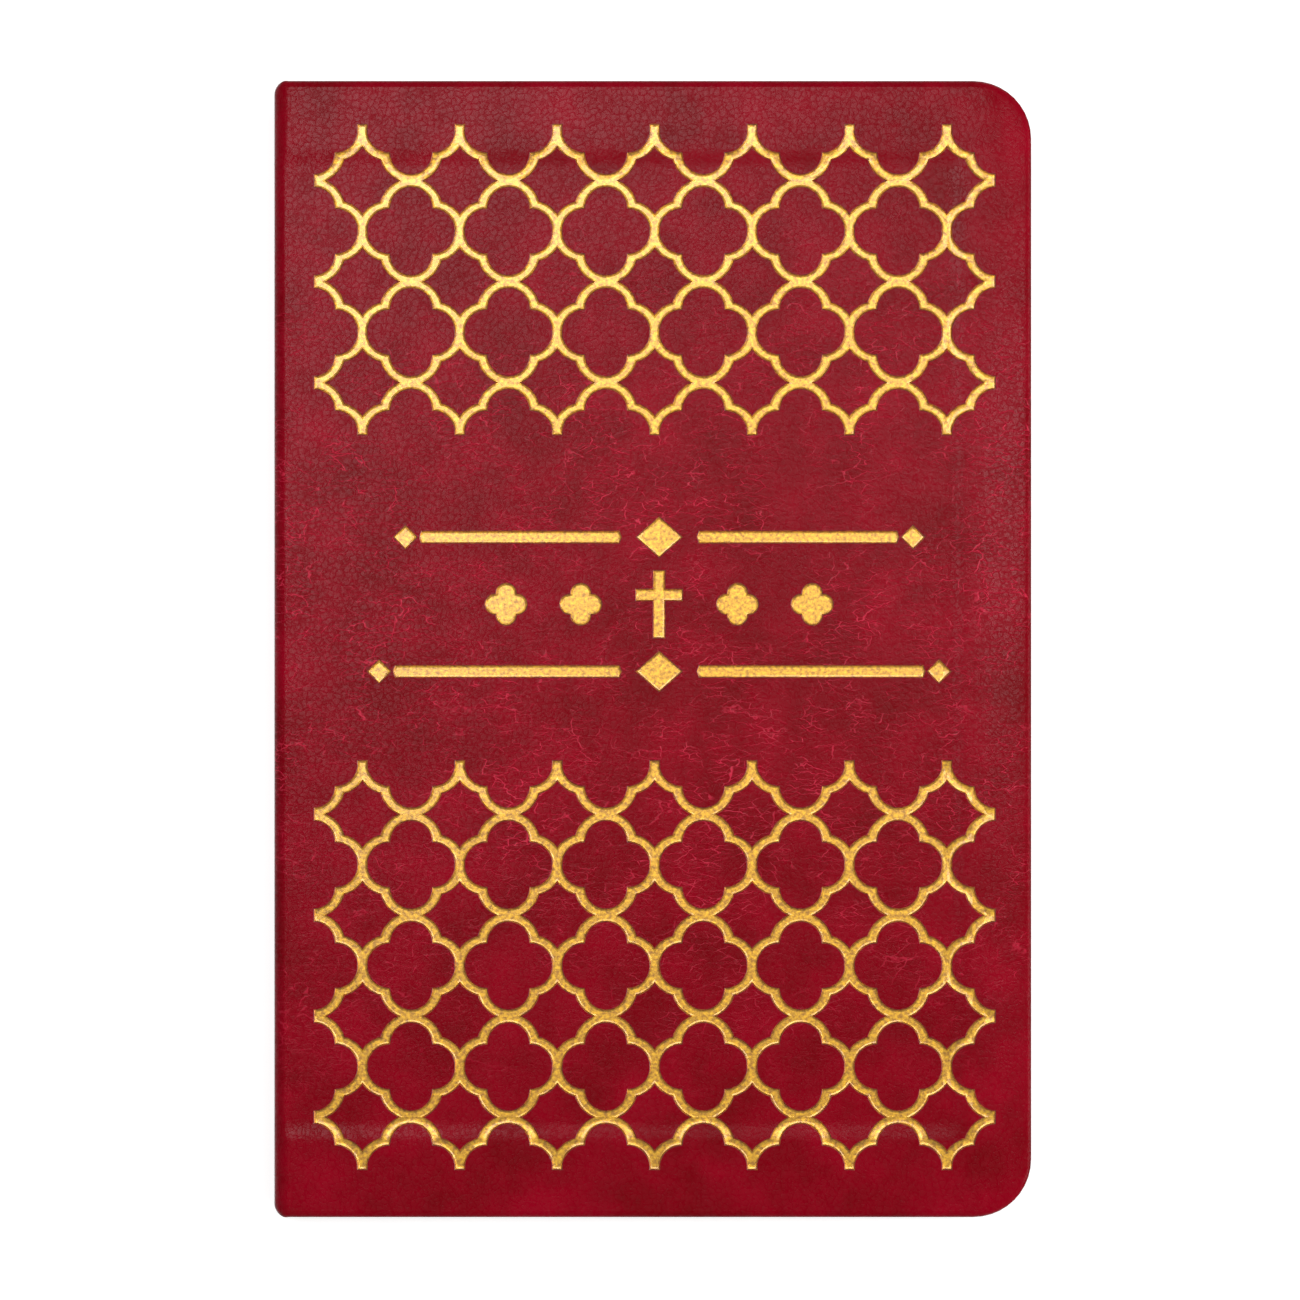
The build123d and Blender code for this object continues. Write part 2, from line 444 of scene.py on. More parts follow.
@dataclass(frozen=True)
class Paper(Finish):
    """Uncoated book paper: matt, with soft fibres and a warm cast."""

    light: str = "#f0e9d8"
    dark: str = "#e2d9c3"
    fibre_mm: float = 0.6
    cloud_mm: float = 11.0
    detail: float = 4.0
    tooth_depth_mm: float = 0.02
    tooth_strength: float = 0.25
    roughness: float = 0.85

    def shade(self, look: Look) -> Socket:
        """Builds cloudy colour and a slight tooth.

        Args:
            look: The material's nodes.

        Returns:
            The shader.
        """
        cloud = look.noise(Clouds(self.cloud_mm, self.detail))["Fac"]
        tooth = look.noise(Clouds(self.fibre_mm, self.detail))["Fac"]
        return look.skin(look.tinted(cloud, srgb(self.dark), srgb(self.light)), self.roughness, {
            "Normal": look.dented(tooth, self.tooth_depth_mm, self.tooth_strength)})


@dataclass(frozen=True)
class Woven(Finish):
    """Plain-woven or twisted yarn: ribs of one yarn over another, with painted shade in the gaps between
    them.
    """

    yarn: str
    # This darker colour fills the gaps between the ribs: painted shade.
    painted_gap_shade: str
    # One wave holds two pitches: a rib and the gap beside it.
    pitch_mm: float
    direction: str = "Z"
    wobble: float = 0.6
    rib_depth_mm: float = 0.08
    rib_strength: float = 0.8
    roughness: float = 0.8
    fuzz: float = 0.2

    def shade(self, look: Look) -> Socket:
        """Builds ribs along one direction with a little unevenness, with painted shade where they dip.

        Args:
            look: The material's nodes.

        Returns:
            The shader.
        """
        ribs = look.add("TexWave", {
            "Vector": look.place, "Scale": grain(self.pitch_mm) / WAVE_RADIANS * math.pi,
            "Distortion": self.wobble, "Detail": 1.0},
            wave_type="BANDS", bands_direction=self.direction)["Fac"]
        # The colour darkens where the ribs dip: painted shade between the ribs.
        return look.skin(look.tinted(ribs, srgb(self.painted_gap_shade), srgb(self.yarn)), self.roughness, {
            "Sheen Weight": self.fuzz, "Normal": look.dented(ribs, self.rib_depth_mm, self.rib_strength)})


@dataclass(frozen=True)
class StudioWhite(Finish):
    """Seamless white card that keeps a soft shadow."""

    glow: float = 0.72
    seen_white: float = 0.50
    bounce_white: float = 0.80

    def shade(self, look: Look) -> Socket:
        """Builds white for what is seen or mirrored, and plain card for the rest of the light.

        Args:
            look: The material's nodes.

        Returns:
            The shader.
        """
        card, plain = (look.add("BsdfDiffuse", {"Color": (white,) * 3 + (1.0,)})[0]
                       for white in (self.seen_white, self.bounce_white))
        light = look.add("Emission", {"Strength": self.glow})[0]
        shown = look.add("AddShader", {0: card, 1: light})[0]
        return look.add("MixShader", {0: look.ray_seen(), 1: plain, 2: shown})[0]


LEATHER = Leather("crimson bonded leather, embossed and lacquered")
SCORCHED = ScorchedAndShadedRim("leather burnished by the stamp, with painted shade")
GILT = GiltFoil("hot-stamped gold foil")
# The walls' more orange gold is painted shade: the colour the gold takes on the stamp's shaded walls.
GILT_WALL = GiltFoil("gold foil on the stamp's walls, with painted shade", "#c27c1c", "#86480a", 0.42)
PAGE = Paper("uncoated cream book paper")
ENDPAPER = Paper("plain endpaper, heavier and warmer", "#efe6d0", "#e4d9be", 0.9)
LINER = Paper("grey-brown lining paper", "#c9bda4", "#b5a88d", 1.2)
BOARD = Paper("grey binder's board, rolled", "#a39a8a", "#857c6c", 1.6)
MULL = Woven("open mull cloth, sized", "#eee7d6", "#cfc6b0", 0.9, "Y")
BAND = Woven("woven cotton headband", "#f1e8d2", "#c9b98f", 0.8, "Z")
THREAD = Woven("waxed linen thread", "#f3ecd9", "#cfc3a3", 0.25, "Y")


# --- building tools


def verts_of(geometry: Sequence) -> list[Vert]:
    """Returns the vertices among some geometry."""
    return [part for part in geometry if isinstance(part, Vert)]


@dataclass
class Drawing:
    """A mesh in the making, in millimetres."""

    bm: bmesh.types.BMesh = field(default_factory=bmesh.new)

    def arc(self, start: Vert, centre: Point, to: Point, steps: int) -> Vert:
        """Draws a level arc from a vertex, the short way round.

        Args:
            start: The first vertex.
            centre: The arc's centre.
            to: The arc's end.
            steps: How many edges it has.

        Returns:
            The arc's last vertex, placed exactly at its end.
        """
        z = start.co.z
        hub, end = Vector((*centre, z)), Vector((*to, z))
        a, b = start.co - hub, end - hub
        angle = math.atan2(a.x * b.y - a.y * b.x, a.x * b.x + a.y * b.y)
        spun = bmesh.ops.spin(self.bm, geom=[start], cent=hub, axis=UP, angle=angle, steps=steps)
        last = verts_of(spun["geom_last"])[0]
        last.co = end
        return last

    def path(self, start: Vert, legs: Sequence[tuple[Point, Point | None]], steps: int = 1,
             close: Vert | None = None) -> tuple[Vert, list[Edge]]:
        """Draws a level row of lines and arcs.

        Args:
            start: The first vertex.
            legs: Each leg's end, with its centre if it is an arc.
            steps: How many edges an arc has.
            close: A vertex that one more edge leads to.

        Returns:
            The last leg's end, and the edges.
        """
        before = set(self.bm.edges)
        vert = start
        for to, centre in legs:
            if centre is None:
                vert = bmesh.ops.extrude_vert_indiv(self.bm, verts=[vert])["verts"][0]
                vert.co = (*to, start.co.z)
            else:
                vert = self.arc(vert, centre, to, steps)
        if close is not None:
            self.bm.edges.new((vert, close))
        return vert, self.edges_since(before)

    def edges_since(self, before: set[Edge]) -> list[Edge]:
        """Returns the edges that have been drawn since."""
        return [edge for edge in self.bm.edges if edge not in before]

    def fill(self, edges: Sequence[Edge]) -> list[Face]:
        """Fills a closed row of edges."""
        return bmesh.ops.edgeloop_fill(self.bm, edges=edges)["faces"]

    def move(self, geometry: Sequence, by: Triple) -> None:
        """Moves the vertices among some geometry."""
        bmesh.ops.translate(self.bm, verts=verts_of(geometry), vec=by)

    def sheet_edge(self, start_x: float, end_x: float, half_length: float, corner: float, z: float,
                   steps: int) -> list[Edge]:
        """Draws three sides of a sheet, open at start_x, with two round corners at end_x.

        Args:
            start_x: Where both long sides start.
            end_x: The far side.
            half_length: Half the sheet's length.
            corner: The corners' radius.
            z: The height.
            steps: How many edges each corner has.

        Returns:
            The edges, in order.
        """
        side, high = end_x - corner, half_length - corner
        legs = (((side, -half_length), None), ((end_x, -high), (side, -high)), ((end_x, high), None),
                ((side, half_length), (side, high)), ((start_x, half_length), None))
        return self.path(self.bm.verts.new((start_x, -half_length, z)), legs, steps)[1]

    def cut(self, axis: int, place: float) -> None:
        """Cuts all faces with a plane, so that they can bend there.

        Args:
            axis: 0 for X, 1 for Y.
            place: Where the plane stands.
        """
        normal = Matrix.Identity(3)[axis]
        bmesh.ops.bisect_plane(self.bm, geom=self.bm.verts[:] + self.bm.edges[:] + self.bm.faces[:],
                               dist=CUT_MERGE, plane_co=normal * place, plane_no=normal)

    def close_side(self, edges: Sequence[Edge]) -> Edge:
        """Joins the two open ends of a sheet edge and returns the new edge."""
        ends = [v for e in edges for v in e.verts if sum(near in edges for near in v.link_edges) == 1]
        return self.bm.edges.new(ends)

    def paint(self, faces: Sequence[Face], surface: Surface) -> None:
        """Sets what some faces show."""
        for face in faces:
            face.material_index = surface

    def face_out(self) -> None:
        """Turns all faces outwards."""
        bmesh.ops.recalc_face_normals(self.bm, faces=self.bm.faces[:])

    def crease(self, limit: float) -> None:
        """Marks as sharp each edge whose faces turn by more than limit degrees."""
        for edge in self.bm.edges:
            edge.smooth = edge.calc_face_angle(0.0) < math.radians(limit)

    def piece(self, name: str, finishes: Sequence[Finish]) -> Piece:
        """Turns the drawing into a piece of the scene, in metres.

        Args:
            name: The piece's name.
            finishes: Its materials, in order.

        Returns:
            The piece, at the origin.
        """
        bmesh.ops.scale(self.bm, vec=(MM, MM, MM), verts=self.bm.verts[:])
        mesh = bpy.data.meshes.new(name)
        self.bm.to_mesh(mesh)
        self.bm.free()
        for finish in finishes:
            mesh.materials.append(finish.material())
        piece = bpy.data.objects.new(name, mesh)
        bpy.context.scene.collection.objects.link(piece)
        log.info("%s: %d faces", name, len(mesh.polygons))
        return piece


# --- the trellis


@dataclass(frozen=True)
class TrellisTile:
    """One tile of the trellis: a four-pointed star, its gilt strip and four quarter quatrefoils."""

    sheet: Drawing
    pitch_x: float = 13.05
    pitch_y: float = 13.53
    tip_x: float = 4.86
    tip_y: float = 4.50
    waist: Point = (2.48, 2.86)
    side_arc: Point = (6.68, 4.04)
    end_arc: Point = (3.63, 7.12)
    lobe_x: Point = (2.88, 3.07)
    lobe_y: Point = (3.08, 2.92)
    notch: Point = (2.92, 3.07)
    rim: float = 0.14
    # A point where two curves meet moves by this share of the rim along each axis.
    rim_share: float = 0.7
    arc_steps: int = 9

    def quarter(self) -> None:
        """Draws and fills the lower left quarter, its star's centre at the origin."""
        sheet = self.sheet
        half_x, half_y, rim, steps = self.pitch_x / 2, self.pitch_y / 2, self.rim, self.arc_steps
        inward = rim * self.rim_share
        waist = (-self.waist[0] + inward, -self.waist[1] + inward)
        notch = (self.notch[0] - inward - half_x, self.notch[1] - inward - half_y)
        lobe_x, lobe_y = self.lobe_x[0] - half_x, self.lobe_y[0] - half_y
        low = sheet.bm.verts.new((0, rim - self.tip_y, 0))
        left, star = sheet.path(low, (
            (waist, (-self.end_arc[0], -self.end_arc[1])),
            ((rim - self.tip_x, 0), (-self.side_arc[0], -self.side_arc[1]))), steps)
        heart = sheet.path(left, (((0, 0), None),), close=low)[1]
        lobe, left_end = sheet.path(left, (
            ((-half_x, 0), None),
            ((-half_x, lobe_y + self.lobe_y[1] - rim), None)))
        foot, lobes = sheet.path(lobe, (
            (notch, (-half_x, lobe_y)),
            ((lobe_x + self.lobe_x[1] - rim, -half_y), (lobe_x, -half_y))), steps)
        low_end = sheet.path(foot, (((0, -half_y), None),), close=low)[1]
        leaf = sheet.path(foot, (((-half_x, -half_y), None),), close=lobe)[1]
        sheet.fill(star + heart)
        sheet.paint(sheet.fill(star + left_end + lobes + low_end), Surface.GILT)
        sheet.fill(lobes + leaf)

    def panel(self, columns: int, rows: int, corner_star: Point, spikes: Point) -> None:
        """Fills a panel with tiles.

        Args:
            columns: Tiles across.
            rows: Tiles up.
            corner_star: The centre of the lower left star.
            spikes: How far the strip's ends stand out, at the low and at the high end.
        """
        sheet, bm = self.sheet, self.sheet.bm
        old = {*bm.verts, *bm.edges, *bm.faces}

        def own() -> list:
            """Returns what the panel has drawn so far: its vertices, edges and faces, in order."""
            return [part for parts in (bm.verts, bm.edges, bm.faces) for part in parts if part not in old]

        self.quarter()
        for axis in ("X", "Y"):
            bmesh.ops.mirror(bm, geom=own(), matrix=Matrix.Identity(4), merge_dist=MERGE, axis=axis)
        for count, step in ((columns, (self.pitch_x, 0, 0)), (rows, (0, self.pitch_y, 0))):
            source = own()
            for i in range(1, count):
                sheet.move(bmesh.ops.duplicate(bm, geom=source)["geom"], Vector(step) * i)
        bmesh.ops.remove_doubles(bm, verts=verts_of(own()), dist=MERGE)
        verts = verts_of(own())
        low, high = -self.pitch_y / 2, (rows - 0.5) * self.pitch_y
        for end, away in ((low, -spikes[0]), (high, spikes[1])):
            tips = [v for v in verts if abs(v.co.y - end) < MERGE
                    and any(f.material_index == Surface.GILT for f in v.link_faces)]
            sheet.move(tips, (0, away, 0))
        sheet.move(verts, (*corner_star, 0))


@dataclass(frozen=True)
class Ornament:
    """A plain gilt ornament in three rows: rules with a lozenge, a cross between quatrefoils, rules."""

    sheet: Drawing
    centre_x: float = 0.9
    rows_y: Triple = (15.0, 6.0, -3.0)
    rule_length: float = 26.0
    long_rule_length: float = 29.5
    rule_width: float = 1.75
    rule_gap: float = 2.4
    rule_point: float = 1.2
    lozenge_size: Point = (6.4, 5.6)
    small_lozenge_size: Point = (3.4, 3.4)
    cross_height: float = 9.2
    cross_span: float = 6.4
    cross_bar: float = 1.7
    cross_bar_y: float = 1.25
    quatrefoil_places: Point = (10.5, 20.5)
    quatrefoil_lobe: float = 1.45
    arc_steps: int = 6

    def lozenge(self, at: Point, size: Point, stretch: float = 0.0) -> None:
        """Draws a lozenge, or a rule with pointed ends when it is stretched.

        Args:
            at: Its centre.
            size: Its width and height before it is stretched.
            stretch: How much longer it gets.
        """
        bm, sides = self.sheet.bm, 6 if stretch else 4
        made = bmesh.ops.create_circle(bm, cap_ends=True, segments=sides, radius=0.5)["verts"]
        if stretch:
            bmesh.ops.rotate(bm, verts=made, matrix=Matrix.Rotation(math.pi / 6, 3, "Z"))
        tallest = max(v.co.y for v in made)
        for vert in made:
            side = (vert.co.x > MERGE) - (vert.co.x < -MERGE)
            vert.co.x = vert.co.x * size[0] + side * stretch / 2 + at[0]
            vert.co.y = vert.co.y / tallest * size[1] / 2 + at[1]

    def cross(self, at: Point) -> None:
        """Draws a plain Latin cross from the middle row and column of a grid of nine squares.

        Args:
            at: The middle of its height.
        """
        made = bmesh.ops.create_grid(self.sheet.bm, x_segments=3, y_segments=3, size=1.5)["verts"]
        faces = {f for v in made for f in v.link_faces}
        corners = [f for f in faces if min(abs(c) for c in f.calc_center_median()[:2]) > 0.5]
        bmesh.ops.delete(self.sheet.bm, geom=corners, context="FACES")
        height, span, bar = self.cross_height / 2, self.cross_span / 2, self.cross_bar / 2
        across = (-span, -bar, bar, span)
        upward = (-height, self.cross_bar_y - bar, self.cross_bar_y + bar, height)
        for vert in (v for v in made if v.is_valid):
            column, row = round(vert.co.x + 1.5), round(vert.co.y + 1.5)
            vert.co = (*plus((across[column], upward[row]), at), 0)

    def quatrefoil(self, at: Point) -> None:
        """Draws a small solid quatrefoil: four lobes of two arcs each.

        Args:
            at: Its centre.
        """
        sheet, r = self.sheet, self.quatrefoil_lobe
        notches = ((r, -r), (r, r), (-r, r), (-r, -r), (r, -r))
        before = set(sheet.bm.edges)
        first = sheet.bm.verts.new((*plus(notches[0], at), 0))
        legs = []
        for hub, notch in zip(((r, 0.0), (0.0, r), (-r, 0.0), (0.0, -r)), notches[1:]):
            middle = plus(hub, at)
            legs += [(plus(plus(hub, hub), at), middle), (plus(notch, at), middle)]
        last = sheet.path(first, legs, self.arc_steps)[0]
        bmesh.ops.pointmerge(sheet.bm, verts=[last, first], merge_co=first.co)
        sheet.fill(sheet.edges_since(before))

    def draw(self) -> None:
        """Draws all three rows and marks them as gold."""
        sheet = self.sheet
        before = set(sheet.bm.faces)
        x = self.centre_x
        for y, length in ((self.rows_y[0], self.rule_length), (self.rows_y[2], self.long_rule_length)):
            self.lozenge((x, y), self.lozenge_size)
            inner = self.lozenge_size[0] / 2 + self.rule_gap
            outer = inner + length + self.rule_gap
            rule = (self.rule_point, self.rule_width)
            for side in (-1, 1):
                self.lozenge((x + side * (inner + length / 2), y), rule, length)
                self.lozenge((x + side * outer, y), self.small_lozenge_size)
        self.cross((x, self.rows_y[1]))
        for place in self.quatrefoil_places:
            for side in (-1, 1):
                self.quatrefoil((x + side * place, self.rows_y[1]))
        sheet.paint([face for face in sheet.bm.faces if face not in before], Surface.GILT)


# --- the covering


@dataclass
class Covering:
    """Half of the covering: one cover with its turn-ins, the shoulder and half of the spine."""

    side: Side
    sheet: Drawing = field(default_factory=Drawing)
    leather: float = 0.70
    board: float = 0.90
    turn_in: float = 0.40
    turn_in_head: float = 11.0
    turn_in_fore: float = 11.0
    outer_round: float = 0.95
    inner_round: float = 0.50
    corner: float = 7.8
    inner_corner: float = 2.0
    pocket_inset: float = 0.7
    shoulder: float = 2.0
    press_depth: float = 0.22
    press_slope: float = 2.6
    # Only this share of the leather, from its face down, is pressed in.
    press_share: float = 0.7
    # The pressed field starts this far from the head, the tail and the fore edge.
    field_head: float = 11.7
    field_tail: float = 12.9
    field_fore: float = 11.2
    fore_fall: float = 0.60
    fore_fall_width: float = 7.5
    # The sheet is cut at these parts of the slope and of the fall, so that it can follow them.
    slope_cuts: tuple[float, ...] = (-0.25, 0.0, 0.15, 0.3, 0.5, 0.7, 0.85, 1.0, 1.25)
    fall_cuts: tuple[float, ...] = (1.0, 0.85, 0.7, 0.55, 0.4, 0.3, 0.2)
    # Past the start of the shoulder the pocket closes over this length.
    closing: float = 0.8
    closed_gap: float = 0.02
    inlay_gap: float = 0.50
    # The pocket of the spine opens just above the edge of its card strip.
    inlay_start: float = 0.52
    inlay_step: float = 0.24
    pared: float = 0.62
    spine_corner: float = 1.9
    end_draw_length: float = 5.0
    hinge_half: float = 0.45
    # For each panel its columns, its rows, its lower left star and how far its ends stand out.
    panels: tuple[tuple[int, int, Point, Point], ...] = ((7, 3, (-38.85, 35.69), (0.30, 0.82)),
                                                         (7, 4, (-38.85, -62.71), (0.30, 0.48)))
    # The stamp's rim, its steep wall and its rounded foot: how wide, how deep and what they show. Rim and
    # wall carry painted shade.
    stamp_steps: tuple[tuple[float, float, Surface], ...] = (
        (0.08, -0.06, Surface.SCORCHED), (0.11, -0.15, Surface.GILT_WALL), (0.18, -0.045, Surface.GILT))
    corner_steps: int = 10
    round_steps: int = 5
    roll_cuts: int = 10
    hinge_cut: float = 0.10
    crease: float = 30.0
    level: float = 0.9999

    def __post_init__(self) -> None:
        """Takes the book's outer sizes from the frame."""
        low, high = BOX_BEFORE
        self.spine_x, self.fore_x = low.x / MM, high.x / MM
        self.half_length, self.top = high.y / MM, high.z / MM
        self.roll_x = self.spine_x + self.shoulder
        self.roll_z = self.top - self.shoulder
        self.arc = math.pi / 2 * self.shoulder
        self.start_x = self.flat_x(self.top / 2)
        joint = next(j for j in frame["joints"] if j["name"] == "front_cover_hinge")
        self.hinge_z = joint["pos_m"][2] / MM

    def rings(self) -> list[tuple[float, float, float, float]]:
        """Lists the sheet's section as rings from the top face round to the pocket's ceiling.

        Returns:
            For each ring, its inset at the fore edge, its inset at head and tail, its corner
            radius and its depth below the skin.
        """
        floor = self.leather + self.board
        under = floor + self.turn_in
        angles = [math.pi / 2 * i / self.round_steps for i in range(self.round_steps + 1)]
        edge = [(self.outer_round * (1 - math.sin(a)), self.outer_round * (1 - math.cos(a)))
                for a in angles]
        edge += [(self.inner_round * (1 - math.cos(a)), under - self.inner_round * (1 - math.sin(a)))
                 for a in angles]
        made = [(inset, inset, self.corner - inset, depth) for inset, depth in edge]
        lip = (self.turn_in_fore, self.turn_in_head, self.inner_corner)
        pocket = (self.pocket_inset, self.pocket_inset, self.corner - self.pocket_inset)
        return made + [(*lip, under), (*lip, floor), (*pocket, floor), (*pocket, self.leather)]

    def shell(self) -> list[Edge]:
        """Builds the sheet's edges, turn-ins and inside, all but its top face.

        Returns:
            The edges of the top face's outline.
        """
        sheet = self.sheet
        loops = [sheet.sheet_edge(self.start_x, self.fore_x - fore, self.half_length - head, radius,
                                  -depth, self.corner_steps) for fore, head, radius, depth in self.rings()]
        for upper, lower in zip(loops, loops[1:]):
            bmesh.ops.bridge_loops(sheet.bm, edges=upper + lower)
        sheet.fill(loops[-1] + [sheet.close_side(loops[-1])])
        outline = sheet.close_side(loops[0])
        end = [e for e in sheet.bm.edges if e.is_boundary and e not in loops[0]
               and all(abs(v.co.x - self.start_x) < MERGE for v in e.verts)]
        sheet.fill(end + [outline])
        return loops[0] + [outline]

    def stamp(self, outline: list[Edge]) -> None:
        """Fills the top face round the stamped figures and presses them in.

        Args:
            outline: The edges round the top face.
        """
        bm = self.sheet.bm
        old = set(bm.faces)
        if self.side is Side.FRONT:
            for panel in self.panels:
                TrellisTile(self.sheet).panel(*panel)
            Ornament(self.sheet).draw()
        figures = [f for f in bm.faces if f not in old]
        holes = {e for f in figures for e in f.edges if e.is_boundary}
        holes = sorted(holes, key=lambda e: e.verts[0].co.to_tuple(4) + e.verts[1].co.to_tuple(4))
        bmesh.ops.triangle_fill(bm, use_beauty=True, edges=holes + outline, normal=UP)
        for face in (f for f in bm.faces if f not in old):
            face.normal_update()
            if face.normal.z < 0:
                face.normal_flip()
        for width, depth, surface in self.stamp_steps:
            gold = [face for face in bm.faces if face.material_index == Surface.GILT]
            if not gold:
                return
            walls = bmesh.ops.inset_region(bm, faces=gold, use_even_offset=True, use_interpolate=True,
                                           thickness=width, depth=depth)["faces"]
            self.sheet.paint(walls, surface)

    def cuts(self) -> list[tuple[int, float]]:
        """Says where the sheet is cut so that it can step and bend.

        Returns:
            The axis and the place of each cut.
        """
        places = [(0, self.roll_x - self.arc * i / self.roll_cuts) for i in range(self.roll_cuts + 1)]
        hinge_start = self.flat_x(self.hinge_z + self.hinge_half)
        steps = round(2 * self.hinge_half / self.hinge_cut)
        places += [(0, hinge_start - self.hinge_cut * i) for i in range(steps + 1)]
        for part in self.slope_cuts:
            away = part * self.press_slope
            places += [(0, self.fore_x - self.field_fore + away),
                       (1, self.half_length - self.field_head + away),
                       (1, self.field_tail - self.half_length - away)]
        return places + [(0, self.fore_x - self.fore_fall_width * part) for part in self.fall_cuts]

    def flat_x(self, z: float) -> float:
        """Returns where a height on the spine lies on the flat sheet."""
        return self.roll_x - self.arc - (self.roll_z - z)

    def press(self) -> None:
        """Presses the field inside the turn-ins and lets the fore edge fall away softly."""
        for vert in self.sheet.bm.verts:
            if vert.co.z < -self.leather * self.press_share:
                continue
            roll = 1 - (self.roll_x - vert.co.x) / self.arc
            fall = max(0.0, 1 - (self.fore_x - vert.co.x) / self.fore_fall_width) ** 2
            fall *= max(0.0, 1 + vert.co.z / self.outer_round)
            pressed = math.prod(smoothstep(1 - part) for part in self.slope_parts(vert.co))
            vert.co.z -= self.press_depth * pressed * smoothstep(roll)
            vert.co.z -= self.fore_fall * fall

    def slope_parts(self, at: Vector) -> Triple:
        """Says how far up the slope a place lies.

        Args:
            at: The place.

        Returns:
            How far at the fore edge, the head and the tail, as parts of the slope's width.
        """
        places = (at.x - self.fore_x + self.field_fore, at.y - self.half_length + self.field_head,
                  self.field_tail - self.half_length - at.y)
        return tuple(place / self.press_slope for place in places)

    def beside_slope(self, centre: Vector) -> bool:
        """Tells whether a level face borders the slope, so that its shading runs on into it."""
        return self.slope_cuts[0] < max(self.slope_parts(centre)) < self.slope_cuts[-1]

    def packed_depth(self, travel: float, depth: float) -> float:
        """Returns a depth once the pocket has closed beside the board and the leather is pared.

        Args:
            travel: How far past the start of the shoulder.
            depth: The depth on the flat sheet.

        Returns:
            The depth below the skin.
        """
        near = smoothstep(travel / self.closing)
        low = smoothstep((travel - self.arc - self.inlay_start) / self.inlay_step)
        gap = self.board * (1 - near) + self.closed_gap * near * (1 - low) + self.inlay_gap * low
        in_pocket = min(max(depth - self.leather, 0.0), self.board)
        below = max(depth - self.leather - self.board, 0.0)
        depth = min(depth, self.leather) + in_pocket * gap / self.board + below
        return depth * (1 - (1 - self.pared) * near * (1 - low))

    def drawn_in(self, y: float, off_spine: float) -> float:
        """Draws the covering in round the spine's ends, which rounds the book's corners there.

        Args:
            y: Where a point lies along the book.
            off_spine: How far it lies from the spine's face.

        Returns:
            Its new place along the book.
        """
        draw = round_off(off_spine, self.spine_corner) - round_off(off_spine, self.outer_round)
        near_end = 1 - smoothstep((self.half_length - abs(y)) / self.end_draw_length)
        return y - math.copysign(draw * near_end, y)

    def bend(self) -> None:
        """Bends the sheet over the shoulder and down the spine."""
        for vert in self.sheet.bm.verts:
            x, y, z = vert.co
            travel = self.roll_x - x
            if travel <= MERGE / 10:
                vert.co = (x, y, z + self.top)
                continue
            depth = self.packed_depth(travel, -z)
            if travel <= self.arc:
                angle = travel / self.shoulder
                reach = self.shoulder - depth
                vert.co = (self.roll_x - reach * math.sin(angle), y, self.roll_z + reach * math.cos(angle))
            else:
                vert.co = (self.spine_x + depth, y, self.roll_z - (travel - self.arc))
            vert.co.y = self.drawn_in(y, vert.co.x - self.spine_x)

    def build(self) -> None:
        """Makes the covering's half and puts it in place of the frame's leather."""
        sheet = self.sheet
        bm = sheet.bm
        self.stamp(self.shell())
        bmesh.ops.remove_doubles(bm, verts=bm.verts[:], dist=CUT_MERGE)
        sheet.face_out()
        for axis, place in self.cuts():
            sheet.cut(axis, place)
        self.press()
        self.bend()
        if self.side is Side.BACK:
            for vert in bm.verts:
                vert.co.z = self.top - vert.co.z
        sheet.face_out()
        bm.normal_update()
        for face in bm.faces:
            face.smooth = abs(face.normal.z) < self.level or self.beside_slope(face.calc_center_median())
        sheet.crease(self.crease)
        log.info("%s covering: %d open edges", self.side.value, sum(not e.is_manifold for e in bm.edges))
        self.hang(sheet.piece(f"{self.side.value}_covering", (LEATHER, SCORCHED, GILT, GILT_WALL)))

    def hang(self, piece: Piece) -> None:
        """Fixes the piece in place and hides the frame's leather that it replaces.

        Args:
            piece: The covering's half.
        """
        if self.side is Side.FRONT:
            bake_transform(piece)
            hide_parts("front_cover_leather", "spine_leather")
        else:
            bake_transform(piece)
            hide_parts("back_cover_leather")


# --- the leaves


